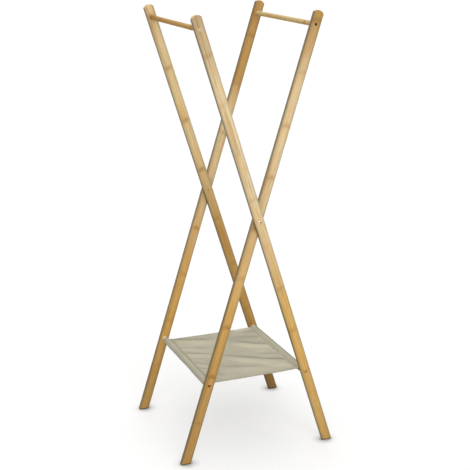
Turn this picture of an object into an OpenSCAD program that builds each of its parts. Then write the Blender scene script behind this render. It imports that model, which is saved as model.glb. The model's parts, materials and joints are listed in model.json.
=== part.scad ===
// Folding clothes rack: two equal bamboo frames cross as an X and turn on two pivot bolts.
// A fabric shelf joins the lower bars and stops the frames when the rack is open.
// X is the way the legs spread, Y the way the rails run, Z is up, and the origin lies on the
// floor under the middle. The camera side is -Y. Frame b is frame a turned half round Z.

/* [Stance] */
// Leg length from the pivot axis down to the floor, along the leg
leg_below = 900; // [760:5:1000]
// Leg length from the pivot axis up to the tip, along the leg
leg_above = 726; // [600:1:860]
// Lean of each frame from upright when the rack stands open, in degrees
lean = 17.6; // [13:0.1:23]

/* [Frame] */
// Width of one frame across the outer faces of its two legs
frame_w = 500; // [400:5:640]
// Width of a leg's broad face
leg_w = 35; // [30:1:45]
// Thickness of a leg
leg_t = 15; // [13:0.5:22]
// Radius along the leg's four long edges
leg_edge_r = 2; // [0.5:0.25:3]
// Height of the arc that ends the leg at the top, above the straight sides
tip_rise = 9.3; // [4:0.1:14]
// Diameter of a hanging rail
rail_d = 17; // [14:0.5:24]
// Distance from the leg's tip down to the rail's axis, along the leg
rail_drop = 47; // [35:1:120]
// Diameter of a lower bar
bar_d = 17; // [14:0.5:22]
// Distance from the floor up to the lower bar's axis, along the leg
bar_up = 298; // [200:1:420]

/* [Feet] */
// Thickness of the pad under a foot
pad_t = 3; // [1.5:0.5:6]
// How far the pad's edge stays inside the foot's edge
pad_inset = 0.8; // [0.3:0.1:2]
// Corner radius of the pad
pad_r = 2.5; // [1:0.5:5]

/* [Pivot] */
// Free space between the two frames' legs at the pivot
pivot_gap = 1; // [0.8:0.1:3]
// Play along the pivot between the turning leg and what holds it
end_play = 0.2; // [0.1:0.05:0.4]
// Diameter of the barrel that the legs turn on
barrel_d = 8; // [7.5:0.5:10]
// Radial running clearance round the barrel
barrel_clear = 0.05; // [0.02:0.01:0.1]
// How far the barrel's open end stays below the leg's outer face
barrel_short = 2; // [1:0.5:4]
// Diameter of the barrel nut's flange
flange_d = 13; // [12:0.5:18]
// Thickness of the barrel nut's flange
flange_t = 1.6; // [1:0.1:3]
// Diameter of the pivot bolt's shank
bolt_d = 6; // [4:0.5:6]
// Length of the pivot bolt's shank
bolt_len = 20; // [12:1:24]
// Diameter of the pivot bolt's head
bolt_head_d = 12; // [10:0.5:18]
// Height of the pivot bolt's head
bolt_head_h = 3; // [2.5:0.25:5]
// Hexagon socket of the pivot bolt and barrel nut, across its flats
bolt_socket = 4; // [3:0.5:4]
// Outer diameter of the washer between the legs
washer_d = 20; // [16:1:28]

/* [Screws] */
// Diameter of the screws that hold the rails and bars
screw_d = 5; // [4:0.25:6]
// Length of those screws from the top of the head
screw_len = 50; // [35:1:70]
// Diameter of their countersunk head
screw_head_d = 10; // [8.5:0.5:12]
// Hexagon socket of their head, across its flats
screw_socket = 3; // [2.5:0.5:4]
// Radial gap between a screw and its bore or countersink
screw_clear = 0.05; // [0.02:0.01:0.15]

/* [Shelf] */
// Gap between each hemmed edge of the shelf cloth and the inner leg beside it
cloth_side_gap = 7; // [3:0.5:50]
// Thickness of one layer of cloth
cloth_t = 1.2; // [0.8:0.1:2]
// Gap between a lower bar and the sleeve round it
sleeve_gap = 0.3; // [0.2:0.1:0.8]
// Distance from the lower bar's axis to the stitched seam that closes the sleeve
seam_at = 21; // [19:0.5:24]
// Width of the doubled strip that the seam runs along
seam_strip = 6; // [5:0.5:8]
// Width of the doubled hem along the front and back edges
hem_w = 14; // [8:1:24]
// How far the cloth hangs down in the middle
cloth_sag = 5; // [0:1:20]
// Height of the tension folds
fold_h = 2.2; // [0:0.2:5]
// Number of tension folds across the cloth
fold_count = 6; // [3:1:8]

/* [Hidden] */
$fn = 96;

bamboo = [0.84, 0.68, 0.43];
bamboo_rod = [0.80, 0.62, 0.36];
canvas = [0.76, 0.73, 0.64];
steel = [0.78, 0.77, 0.74];
pad_grey = [0.33, 0.29, 0.26];

// What a cut runs past a face, so that it leaves no skin
cut = 1;
// Free length past the tip of a screw or bolt in its blind bore
tip_room = 2;
// Chamfer at the ends of the round rods
rod_chamfer = 0.6;
// Share of a button head's height that its straight rim takes
rim_share = 0.4;
// Share of a button head's diameter that its flat top takes
top_share = 0.5;
// Depth of a hexagon socket over its width across the flats
socket_depth = 0.6;

pivot_z = leg_below * cos(lean);
tip_r = (leg_w * leg_w / 4 + tip_rise * tip_rise) / (2 * tip_rise);
// Frame a is set towards -Y so that its legs pass beside those of frame b
frame_y = -(leg_t + pivot_gap) / 2;
outer_leg_y = frame_y - frame_w / 2;
inner_leg_y = frame_y + frame_w / 2 - leg_t;
rod_len = frame_w - 2 * leg_t;
// The cloth is centred between the two inner legs, so it fits both frames
cloth_w = 2 * (inner_leg_y - cloth_side_gap);
rail_v = leg_above - rail_drop;
bar_v = bar_up - leg_below;
barrel_hole_d = barrel_d + 2 * barrel_clear;
screw_hole_d = screw_d + 2 * screw_clear;
screw_head_h = (screw_head_d - screw_d) / 2;
barrel_len = 2 * leg_t + pivot_gap + end_play - barrel_short;
washer_t = pivot_gap - end_play;
// Centre of lower bar a at rest
bar_x = -bar_v * sin(lean);
bar_z = pivot_z + bar_v * cos(lean);
sleeve_r = bar_d / 2 + sleeve_gap + cloth_t;
sleeve_tip = seam_at + seam_strip / 2;
// The loop's two layers meet half a strip short of the seam
loop_reach = seam_at - seam_strip / 2;
// Clear space between the sleeve's strip and the cloth's edge
cloth_clear = 0.3;
cloth_x = bar_x - sleeve_tip - cloth_clear;
foot_x = (pivot_z - pad_t) * tan(lean);

// Puts a piece of frame a in the place of its twin on frame b
module half_turn() {
    rotate([0, 0, 180]) children();
}

// Leg space: the pivot is the origin, Z runs up the leg and the leg's inner or outer face is y = 0
module on_leg(y) {
    translate([0, y, pivot_z]) rotate([0, -lean, 0]) children();
}

// A cylinder along +Y from y = 0
module y_rod(d, h) {
    rotate([-90, 0, 0]) cylinder(d = d, h = h);
}

// A cone along +Y that runs from diameter d1 to diameter d2
module y_cone(d1, d2, h) {
    rotate([-90, 0, 0]) cylinder(d1 = d1, d2 = d2, h = h);
}

// A hexagon socket that sinks along +Y from y = 0
module y_socket(flats, h) {
    translate([0, -cut, 0]) rotate([-90, 0, 0]) cylinder(d = flats / cos(30), h = h + cut, $fn = 6);
}

// Rectangle with true arcs at its corners, centred on the origin
module round_rect(w, h, r) {
    square([w - 2 * r, h], center = true);
    square([w, h - 2 * r], center = true);
    for (x = [-1, 1], y = [-1, 1]) translate([x * (w / 2 - r), y * (h / 2 - r)]) circle(r);
}

// What a leg is trimmed to: an arc at the tip and a cut parallel to the floor at the foot.
// It is wider than the leg, so that only the leg's own blank gives the long sides.
module leg_outline() {
    half = (leg_w / 2 + tip_r) / 2;
    foot_v = -(leg_below - pad_t / cos(lean));
    rise = half * tan(lean);
    tip_v = leg_above - tip_r;
    polygon([[-half, foot_v + rise], [half, foot_v - rise], [half, tip_v], [-half, tip_v]]);
    translate([0, tip_v]) circle(tip_r);
}

// Screw hole through the leg, countersunk at y = 0. The cone starts outside the leg and ends in the bore.
module screw_hole() {
    outside_d = screw_head_d + 2 * screw_clear + 2 * cut;
    inside_d = screw_hole_d - 2 * cut;
    translate([0, -cut, 0]) y_rod(screw_hole_d, leg_t + 2 * cut);
    translate([0, -cut, 0]) y_cone(outside_d, inside_d, (outside_d - inside_d) / 2);
}

// A leg in leg space, with its outer face at y = 0
module leg() {
    color(bamboo) difference() {
        intersection() {
            translate([0, leg_t + cut, 0]) rotate([90, 0, 0]) linear_extrude(leg_t + 2 * cut) leg_outline();
            translate([0, leg_t / 2, -leg_below - leg_w])
                linear_extrude(leg_below + leg_above + 2 * leg_w) round_rect(leg_w, leg_t, leg_edge_r);
        }
        translate([0, -cut, 0]) y_rod(barrel_hole_d, leg_t + 2 * cut);
        for (v = [rail_v, bar_v]) translate([0, 0, v]) screw_hole();
    }
}

// The leg that carries its own frame's pivot bolt
module outer_leg() {
    on_leg(outer_leg_y) leg();
}

// The leg that turns on the other frame's pivot bolt
module inner_leg() {
    on_leg(inner_leg_y + leg_t) mirror([0, 1, 0]) leg();
}

// A round rod between the legs with a pilot bore in each end
module rod(d, v) {
    bore = screw_len - leg_t + tip_room;
    color(bamboo_rod) on_leg(outer_leg_y + leg_t) translate([0, 0, v]) difference() {
        union() {
            y_cone(d - 2 * rod_chamfer, d, rod_chamfer);
            translate([0, rod_chamfer, 0]) y_rod(d, rod_len - 2 * rod_chamfer);
            translate([0, rod_len - rod_chamfer, 0]) y_cone(d, d - 2 * rod_chamfer, rod_chamfer);
        }
        translate([0, -cut, 0]) y_rod(screw_hole_d, bore + cut);
        translate([0, rod_len - bore, 0]) y_rod(screw_hole_d, bore + cut);
    }
}

// A countersunk socket screw that points along +Y with the top of its head at y = 0
module screw() {
    difference() {
        union() {
            y_cone(screw_head_d, screw_d, screw_head_h);
            y_rod(screw_d, screw_len);
        }
        y_socket(screw_socket, screw_socket * socket_depth);
    }
}

// The two screws that hold a rod, one through each leg
module screw_pair(v) {
    color(steel) on_leg(0) translate([0, 0, v]) {
        translate([0, outer_leg_y, 0]) screw();
        translate([0, inner_leg_y + leg_t, 0]) mirror([0, 1, 0]) screw();
    }
}

// The pad under a foot, whose near face lies at the leg's face y
module pad(y) {
    long = leg_w / cos(lean) - 2 * pad_inset;
    color(pad_grey) translate([foot_x, y + leg_t / 2, 0])
        linear_extrude(pad_t) round_rect(long, leg_t - 2 * pad_inset, pad_r);
}

// Button-headed bolt: its head stands on the outer leg's outer face and its shank points along +Y
module pivot_bolt() {
    rim = bolt_head_h * rim_share;
    color(steel) on_leg(outer_leg_y) difference() {
        union() {
            translate([0, -rim, 0]) y_rod(bolt_head_d, rim);
            translate([0, -bolt_head_h, 0]) y_cone(bolt_head_d * top_share, bolt_head_d, bolt_head_h - rim);
            y_rod(bolt_d, bolt_len);
        }
        translate([0, -bolt_head_h, 0]) y_socket(bolt_socket, bolt_socket * socket_depth);
    }
}

// Barrel nut: its flange holds the other frame's leg and its barrel is the bearing of both legs
module barrel_nut() {
    face_y = outer_leg_y + 2 * leg_t + pivot_gap + end_play;
    bolt_bore = bolt_d + 2 * screw_clear;
    color(steel) on_leg(face_y) difference() {
        union() {
            y_rod(flange_d, flange_t);
            translate([0, -barrel_len, 0]) y_rod(barrel_d, barrel_len);
        }
        translate([0, -barrel_len - cut, 0]) y_rod(bolt_bore, bolt_len - barrel_short + tip_room + cut);
        translate([0, flange_t, 0]) mirror([0, 1, 0]) y_socket(bolt_socket, bolt_socket * socket_depth);
    }
}

// Washer on the outer leg's inner face
module pivot_washer() {
    color(steel) on_leg(outer_leg_y + leg_t) difference() {
        y_rod(washer_d, washer_t);
        translate([0, -cut, 0]) y_rod(barrel_hole_d, washer_t + 2 * cut);
    }
}

// Outline of a loop of radius r drawn out to a point at distance reach towards -X
module drop(r, reach) {
    touch = acos(r / reach);
    circle(r);
    polygon([[-reach, 0], [-r * cos(touch), -r * sin(touch)], [-r * cos(touch), r * sin(touch)]]);
}

// Sleeve round lower bar a, closed by a doubled strip along the seam
module sleeve() {
    // Both layers of the loop keep the cloth's thickness, so the inner drop is the outer one made smaller
    inner_share = (sleeve_r - cloth_t) / sleeve_r;
    color(canvas) translate([bar_x, cloth_w / 2, bar_z]) rotate([90, 0, 0])
        linear_extrude(cloth_w) difference() {
            union() {
                drop(sleeve_r, loop_reach + cloth_t);
                translate([-sleeve_tip, -cloth_t]) square([seam_strip + cloth_t, 2 * cloth_t]);
            }
            drop(sleeve_r * inner_share, (loop_reach + cloth_t) * inner_share);
        }
}

// Cells of the cloth's grid along X and, between its hems, along Y
cells_x = 20;
cells_y = 24;
// Width over which the hem's step thins out to one layer
hem_step = 2;
// How far the folds wander sideways, in degrees of one fold
fold_wander = 70;
// Angle that this wandering sweeps between the cloth's middle and a seam, in degrees
wander_sweep = 150;
// Power of the curve by which the folds fade towards the hems
hem_fade = 6;
inner_w = cloth_w - 2 * hem_w - 2 * hem_step;

cloth_rows = concat(
    [-cloth_w / 2, -cloth_w / 2 + hem_w],
    [for (j = [0:cells_y]) -inner_w / 2 + inner_w * j / cells_y],
    [cloth_w / 2 - hem_w, cloth_w / 2]
);

// Height of the cloth's middle layer: the sag, and folds that fade towards the seams and hems
function cloth_mid(x, y) =
    let (u = x / cloth_x, v = 2 * y / cloth_w)
    let (fade = (1 - u * u) * (1 - pow(v, hem_fade)))
    let (wave = sin(180 * fold_count * v + fold_wander * sin(wander_sweep * u)))
    bar_z - cloth_sag * (1 - u * u) + fold_h * fade * wave;

// Half the thickness there: the hem is two layers and the rest one
function cloth_half(y) = abs(y) > cloth_w / 2 - hem_w - hem_step / 2 ? cloth_t : cloth_t / 2;

// The stretched cloth between the two sleeves, as one closed skin of triangles
module shelf() {
    rows = len(cloth_rows);
    cols = cells_x + 1;
    points = [
        for (side = [1, -1]) for (i = [0:cells_x]) for (y = cloth_rows)
            let (x = -cloth_x + 2 * cloth_x * i / cells_x)
            [x, y, cloth_mid(x, y) + side * cloth_half(y)]
    ];
    low = rows * cols;
    top = [for (i = [0:cells_x - 1]) for (j = [0:rows - 2]) let (p = i * rows + j)
        each [[p, p + 1, p + rows], [p + 1, p + rows + 1, p + rows]]];
    under = [for (f = top) [low + f[0], low + f[2], low + f[1]]];
    ends = [for (j = [0:rows - 2]) let (a = j, b = cells_x * rows + j)
        each [
            [a, low + a, a + 1], [a + 1, low + a, low + a + 1],
            [b, b + 1, low + b], [b + 1, low + b + 1, low + b]
        ]];
    edges = [for (i = [0:cells_x - 1]) let (a = i * rows, b = i * rows + rows - 1)
        each [
            [a, a + rows, low + a], [a + rows, low + a + rows, low + a],
            [b, low + b, b + rows], [b + rows, low + b, low + b + rows]
        ]];
    color(canvas) polyhedron(points, concat(top, under, ends, edges));
}

module front_leg_a() { outer_leg(); }
module rear_leg_a() { inner_leg(); }
module hanging_rail_a() { rod(rail_d, rail_v); }
module lower_bar_a() { rod(bar_d, bar_v); }
module rail_screws_a() { screw_pair(rail_v); }
module bar_screws_a() { screw_pair(bar_v); }
module front_pad_a() { pad(outer_leg_y); }
module rear_pad_a() { pad(inner_leg_y); }
module pivot_bolt_a() { pivot_bolt(); }
module barrel_nut_a() { barrel_nut(); }
module pivot_washer_a() { pivot_washer(); }
module sleeve_a() { sleeve(); }

module front_leg_b() { half_turn() inner_leg(); }
module rear_leg_b() { half_turn() outer_leg(); }
module hanging_rail_b() { half_turn() rod(rail_d, rail_v); }
module lower_bar_b() { half_turn() rod(bar_d, bar_v); }
module rail_screws_b() { half_turn() screw_pair(rail_v); }
module bar_screws_b() { half_turn() screw_pair(bar_v); }
module front_pad_b() { half_turn() pad(inner_leg_y); }
module rear_pad_b() { half_turn() pad(outer_leg_y); }
module pivot_bolt_b() { half_turn() pivot_bolt(); }
module barrel_nut_b() { half_turn() barrel_nut(); }
module pivot_washer_b() { half_turn() pivot_washer(); }
module sleeve_b() { half_turn() sleeve(); }
module shelf_cloth() { shelf(); }

front_leg_a();
rear_leg_a();
hanging_rail_a();
lower_bar_a();
rail_screws_a();
bar_screws_a();
front_pad_a();
rear_pad_a();
pivot_bolt_a();
barrel_nut_a();
pivot_washer_a();
sleeve_a();
front_leg_b();
rear_leg_b();
hanging_rail_b();
lower_bar_b();
rail_screws_b();
bar_screws_b();
front_pad_b();
rear_pad_b();
pivot_bolt_b();
barrel_nut_b();
pivot_washer_b();
sleeve_b();
shelf_cloth();
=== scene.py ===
import json
import math
from bisect import bisect_right

import bmesh
import bpy
from mathutils import Matrix, Vector, noise

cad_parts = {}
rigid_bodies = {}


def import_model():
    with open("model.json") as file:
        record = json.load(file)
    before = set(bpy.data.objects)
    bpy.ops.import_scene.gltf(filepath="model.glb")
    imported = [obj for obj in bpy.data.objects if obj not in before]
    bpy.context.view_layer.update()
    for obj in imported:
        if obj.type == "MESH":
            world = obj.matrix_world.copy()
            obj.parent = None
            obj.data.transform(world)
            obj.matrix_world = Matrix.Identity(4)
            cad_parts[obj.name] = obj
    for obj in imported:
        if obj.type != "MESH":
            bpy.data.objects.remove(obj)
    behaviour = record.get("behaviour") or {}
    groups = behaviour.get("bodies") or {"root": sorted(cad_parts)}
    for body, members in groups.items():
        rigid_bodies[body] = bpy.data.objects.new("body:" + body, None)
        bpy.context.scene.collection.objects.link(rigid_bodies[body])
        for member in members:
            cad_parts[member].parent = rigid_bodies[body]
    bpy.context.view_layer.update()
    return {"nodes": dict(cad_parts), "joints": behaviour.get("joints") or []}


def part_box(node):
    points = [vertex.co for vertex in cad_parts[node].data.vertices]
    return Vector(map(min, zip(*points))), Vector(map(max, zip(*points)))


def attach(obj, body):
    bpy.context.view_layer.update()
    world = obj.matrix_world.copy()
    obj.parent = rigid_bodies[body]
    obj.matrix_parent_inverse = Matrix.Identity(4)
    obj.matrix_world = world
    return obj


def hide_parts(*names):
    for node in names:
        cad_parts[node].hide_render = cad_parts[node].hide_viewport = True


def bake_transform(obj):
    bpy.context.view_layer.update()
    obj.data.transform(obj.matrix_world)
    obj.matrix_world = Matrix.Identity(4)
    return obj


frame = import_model()

bl_info = {
    "name": "Folding clothes rack",
    "version": (1, 0, 0),
    "blender": (4, 5, 0),
    "location": "3D Viewport > Sidebar > Clothes Rack",
    "description": "Bamboo legs, steel fasteners and a sewn canvas shelf on a folding rack",
    "category": "Add Mesh",
}

MM = 0.001
WHITE = (1.0, 1.0, 1.0, 1.0)


def middle(node):
    low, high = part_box(node)
    return (low + high) / 2


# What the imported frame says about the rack's stance
PIVOT = Vector(frame["joints"][0]["pos_m"])
RAIL = middle("hanging_rail_a")
BAR = middle("lower_bar_a")
LEAN = math.atan2(BAR.x - RAIL.x, RAIL.z - BAR.z)
RAIL_UP = math.hypot(RAIL.x, RAIL.z - PIVOT.z)
BAR_DOWN = math.hypot(BAR.x, BAR.z - PIVOT.z)
PAD_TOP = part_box("front_pad_a")[1].z
LEG_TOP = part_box("front_leg_a")[1].z
CLOTH_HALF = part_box("shelf_cloth")[1].y
BOLT_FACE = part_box("pivot_bolt_a")[0].y
OUTER_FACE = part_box("front_leg_a")[0].y

# Each leg's frame, and whether it is the outer leg where it crosses another
LEGS = {
    "front_leg_a": ("a", True), "rear_leg_a": ("a", False),
    "front_leg_b": ("b", False), "rear_leg_b": ("b", True),
}

# Frame b is frame a turned half round
TURN = {"a": 0, "b": math.pi}

# Heights above the pivot, along a leg, that shares 0 and 1 of its shades stand for
LEG_SPAN = (-0.95, 0.75)

# Radii of a leg's holes: the pivot's, a screw's, and its countersink's at the face and at its root
PIVOT_HOLE = 4.05 * MM
SCREW_HOLE = 2.55 * MM
SINK_FACE = 5.05 * MM
SINK_ROOT = 2.05 * MM

# How far a cutter reaches outside the wood, and how close two places are that count as one
HOLE_REACH = 2 * MM
SINK_REACH = 1 * MM
TOUCH = 1e-5

# Steps round a circle, and the angle in degrees above which an edge is shaded sharp
ROUND = 48
SHARP = 35
BOLT_SHARP = 40
SMOOTH = 180


def srgb(*channels):
    """A colour as a screen shows it, 0 to 255, in the linear values that Blender uses."""
    def linear(c):
        c /= 255
        return c / 12.92 if c <= 0.04045 else ((c + 0.055) / 1.055) ** 2.4
    return (*map(linear, channels), 1.0)


def triple(value):
    """Three numbers: a tuple's own, or one number three times."""
    return value if isinstance(value, tuple) else (value,) * 3


def tinted(colour, tint=1.0):
    """The colour times the tint, which is a number or has one for each channel, with none over 1."""
    return tuple(min(1.0, c * t) for c, t in zip(colour[:3], triple(tint))) + (1.0,)


def leg_space(side):
    """Leg space: the pivot axis is the origin, Z runs up the leg and Y across the rack."""
    turn = Matrix.Rotation(TURN[side], 4, "Z")
    return turn @ Matrix.Translation((0, 0, PIVOT.z)) @ Matrix.Rotation(-LEAN, 4, "Y")


# Materials


class Nodes:
    """A node tree, built from empty. A socket is fed a value or another node's output."""

    def __init__(self, tree):
        self.tree = tree
        tree.nodes.clear()

    def add(self, kind, inputs=None, **settings):
        node = self.tree.nodes.new(kind)
        for key, value in settings.items():
            setattr(node, key, value)
        for key, value in (inputs or {}).items():
            self.feed(node.inputs[key], value)
        return node

    def feed(self, socket, value):
        if isinstance(value, bpy.types.NodeSocket):
            self.tree.links.new(value, socket)
        else:
            socket.default_value = value

    def math(self, operation, *values):
        return self.add("ShaderNodeMath", dict(enumerate(values)), operation=operation).outputs[0]

    def minus(self, a, b):
        return self.math("SUBTRACT", a, b)

    def times(self, a, b):
        return self.math("MULTIPLY", a, b)

    def times_plus(self, a, b, c):
        return self.math("MULTIPLY_ADD", a, b, c)

    def larger(self, a, b):
        return self.math("MAXIMUM", a, b)

    def size(self, value):
        return self.math("ABSOLUTE", value)

    def off_middle(self, value):
        """How far a value is from the middle between two whole numbers."""
        return self.size(self.minus(self.math("FRACT", value), 0.5))

    def total(self, *terms):
        """The sum of values that each come with a weight."""
        (value, weight), *others = terms
        result = self.times(value, weight)
        for value, weight in others:
            result = self.times_plus(value, weight, result)
        return result

    def join(self, x, y, z):
        return self.add("ShaderNodeCombineXYZ", {"X": x, "Y": y, "Z": z}).outputs[0]

    def split(self, vector):
        return self.add("ShaderNodeSeparateXYZ", {"Vector": vector}).outputs

    def noise(self, place, scale, detail=2.0, roughness=0.5):
        """Noise at a scale that is one number or has one for each axis, in cycles per metre."""
        scaled = self.add("ShaderNodeVectorMath", {0: place, 1: triple(scale)}, operation="MULTIPLY")
        return self.add("ShaderNodeTexNoise", {
            "Vector": scaled.outputs[0], "Scale": 1.0, "Detail": detail,
            "Roughness": roughness}).outputs["Fac"]

    def chance(self, vector):
        node = self.add("ShaderNodeTexWhiteNoise", {"Vector": vector}, noise_dimensions="3D")
        return node.outputs["Value"]

    def range(self, value, low, high, to_low=0.0, to_high=1.0, smooth=True):
        return self.add("ShaderNodeMapRange", {
            "Value": value, "From Min": low, "From Max": high, "To Min": to_low, "To Max": to_high},
            interpolation_type="SMOOTHSTEP" if smooth else "LINEAR").outputs[0]

    def mix(self, factor, a, b, blend="MIX"):
        return self.add("ShaderNodeMix", {0: factor, 6: a, 7: b}, data_type="RGBA",
                        blend_type=blend).outputs[2]

    def ramp(self, value, *stops):
        node = self.add("ShaderNodeValToRGB", {"Fac": value})
        elements = node.color_ramp.elements
        while len(elements) < len(stops):
            elements.new(0.5)
        for element, (place, colour) in zip(elements, stops):
            element.position = place
            element.color = colour
        return node.outputs[0]

    def end(self, kind, unseen, seen):
        """Ends the tree. What is seen shows to the camera, in reflections and through glass."""
        path = self.add("ShaderNodeLightPath")
        shown = path.outputs["Is Camera Ray"]
        for ray in ("Is Glossy Ray", "Is Transmission Ray"):
            shown = self.larger(shown, path.outputs[ray])
        mixed = self.add("ShaderNodeMixShader", {0: shown, 1: unseen.outputs[0], 2: seen.outputs[0]})
        self.add(kind, {0: mixed.outputs[0]})


class Finish(Nodes):
    """One material: a Principled shader, with a colour that is painted in layers."""

    def __init__(self, name, **sockets):
        self.material = bpy.data.materials.new(name)
        self.material.use_nodes = True
        super().__init__(self.material.node_tree)
        self.shader = self.add("ShaderNodeBsdfPrincipled")
        self.add("ShaderNodeOutputMaterial", {0: self.shader.outputs[0]})
        self.give(**sockets)
        self.colour = None

    def give(self, **sockets):
        """Feeds the shader's sockets, whose names have _ for a space here."""
        for key, value in sockets.items():
            self.feed(self.shader.inputs[key.replace("_", " ")], value)

    def coords(self):
        return self.add("ShaderNodeTexCoord").outputs["Object"]

    def paint(self, factor, colour, blend="MIX"):
        """Lays one more colour over those before it."""
        self.colour = self.mix(factor, self.colour, colour, blend)

    def done(self, roughness, *heights):
        """Links the colour, the roughness and a bump from values that each come with a depth in metres."""
        bump = self.add("ShaderNodeBump", {
            "Height": self.total(*heights), "Strength": 1.0, "Distance": 1.0})
        self.give(Base_Color=self.colour, Roughness=roughness, Normal=bump.outputs[0])
        return self.material


class Bamboo(Finish):
    """Laminated bamboo, with its fibres along Z. The legs are oiled, and the rods are dry."""

    WARM_PATCH = (1.0, 0.85, 0.60, 1.0)
    GREEN_PATCH = (0.90, 0.96, 0.84, 1.0)
    EDGE_SHADE = (0.58, 0.65, 0.80, 1.0)

    # Shares of the distance between knuckles by which one wanders along the wood and strip by strip
    WANDER = 0.12
    STAGGER = 0.04

    # Distances from a knuckle's middle between which its line and its soft band fade
    LINE = (0.5 * MM, 3.0 * MM)
    BAND = (2.0 * MM, 14.5 * MM)

    def __init__(self, name, wood, seed, place, turn, tone, leg):
        super().__init__(name, Coat_Weight=0.15 if leg else 0.0, Coat_Roughness=0.3,
                         Specular_IOR_Level=0.3 if leg else 0.18)
        self.wood = wood
        self.seed = float(seed)
        self.tone = tone
        self.leg = leg
        self.local = self.add("ShaderNodeMapping", {
            "Vector": self.coords(), "Location": place, "Rotation": turn}, vector_type="TEXTURE").outputs[0]
        self.x, self.y, self.z = self.split(self.local)

    def fibres(self, across, along, detail=2.0, roughness=0.5):
        """Noise drawn out along the fibres, in cycles per metre across and along them."""
        return self.noise(self.shifted, (across, across, along), detail, roughness)

    def strips(self, width):
        """Fibres in strips that each have their own tone, with a glue line between two of them."""
        across = self.math("ADD", self.math("DIVIDE", self.x, width), 0.5)
        strip = self.math("FLOOR", across)
        self.own, self.other = [self.chance(self.join(strip, self.seed, draw)) for draw in (3.7, 9.1)]
        self.edge = self.off_middle(across)

        # Each strip is cut from another cane, so its fibres start somewhere else
        self.shifted = self.join(self.x, self.y, self.times_plus(self.own, 7.0, self.z))
        self.fine = self.fibres(1500.0, 14.0, 3.0, 0.6)
        self.slow = self.fibres(20.0, 2.4)
        broad = self.fibres(200.0, 7.0)
        self.grain = self.total((self.fine, 0.34), (broad, 0.36), (self.slow, 0.30))
        wood = self.wood
        light, golden, dark, peach = [
            tinted(colour, self.tone) for colour in (wood.light, wood.golden, wood.dark, wood.peach)]
        self.colour = self.ramp(self.grain, (0.37, dark), (0.48, golden), (0.59, light))

        # Strips differ in tone: one paler, one more peach
        self.paint(self.times(self.own, 0.45), peach)
        self.paint(self.range(self.other, 0.0, 1.0, 0.0, 0.18), golden, "MULTIPLY")
        patch = self.fibres(120.0, 12.0)
        self.paint(self.range(patch, 0.48, 0.62, 0.0, 0.8), self.WARM_PATCH, "MULTIPLY")
        self.paint(self.range(patch, 0.46, 0.34, 0.0, 0.8), self.GREEN_PATCH, "MULTIPLY")
        dashes = self.fibres(2400.0, 60.0, 1.0)
        self.paint(self.range(dashes, 0.62, 0.74, 0.0, 0.22), tinted(dark, 0.62))
        self.glue = self.range(self.edge, 0.478, 0.497)
        self.paint(self.times(self.glue, 0.3), tinted(dark, 0.55))

    def knuckles(self, gap, first, bold):
        """A thin line in a soft band, once in each gap, that bows across its strip."""
        bow = self.times(self.times(self.edge, self.edge), 2 * MM)
        ripple = self.times(self.fibres(400.0, 20.0), 2 * MM)
        along = self.math("ADD", self.math("ADD", self.z, bow), ripple)
        along = self.times_plus(self.noise(self.local, (0.0, 0.0, 3.0), 1.0), gap * self.WANDER, along)
        along = self.times_plus(self.other, gap * self.STAGGER, along)
        start = first - gap * (0.5 - (self.WANDER + self.STAGGER) / 2)
        cell = self.math("DIVIDE", self.minus(along, start), gap)
        off = self.times(self.off_middle(cell), gap)

        # Some are bolder than others, and on a leg they fade towards its long edges and its foot
        draw = self.chance(self.join(0.0, self.math("FLOOR", cell), self.seed))
        weight = self.range(draw, 0.1, 0.9, 0.35 * bold, bold)
        weight = self.times(weight, self.range(self.own, 0.0, 1.0, 0.55, 1.0))
        if self.leg:
            width = self.wood.leg_width
            weight = self.times(weight, self.range(self.size(self.x), width * 0.22, width * 0.46, 1.0, 0.3))
            weight = self.times(weight, self.range(self.z, -0.78, -0.62, 0.25, 1.0))
        self.line = self.times(self.range(off, *self.LINE, 1.0, 0.0), weight)
        band = self.times(self.range(off, *self.BAND, 1.0, 0.0), weight)
        self.paint(self.times(band, 0.5), tinted(self.wood.knuckle, self.tone))
        self.paint(self.times(self.line, 0.15), tinted(self.wood.knuckle, 0.6))

    def shade(self, shades):
        """A leg's tone changes slowly along it, partly the wood's own and partly painted shade towards the
        foot and tips.
        """
        drift = self.times_plus(self.slow, 0.16, self.minus(self.z, 0.08))
        along = self.range(drift, *LEG_SPAN, smooth=False)
        self.paint(1.0, self.ramp(along, *shades), "MULTIPLY")

        # Painted shade darkens the broad faces towards the long edges, and the narrow sides show the skin
        # of the cane
        half = self.wood.leg_width / 2
        reach = self.size(self.x)
        edge_shade = self.range(reach, half - 9.0 * MM, half - 1.2 * MM, 0.0, 0.72)
        self.paint(edge_shade, self.EDGE_SHADE, "MULTIPLY")
        skin = self.range(reach, half - 1.2 * MM, half - 0.1 * MM, 0.0, 0.85)
        self.paint(skin, self.mix(1.0, self.colour, tinted(self.wood.skin), "MULTIPLY"))
        self.give(Coat_Weight=self.range(skin, 0.0, 0.85, 0.15, 0.0))


def bamboo(name, wood, seed, place, turn, strip, tone, gap, first, bold=1.0, shades=()):
    """The bamboo of a leg, which has shades along it, or of a rod, which has none."""
    finish = Bamboo(name, wood, seed, place, turn, tone, bool(shades))
    finish.strips(strip)
    finish.knuckles(gap, first, bold)
    if shades:
        finish.shade(shades)
    rough = (0.5, 0.36) if shades else (0.72, 0.55)
    return finish.done(finish.range(finish.grain, 0.3, 0.7, *rough),
                       (finish.fine, 0.03 * MM), (finish.line, 0.08 * MM), (finish.glue, -0.05 * MM))


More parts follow.
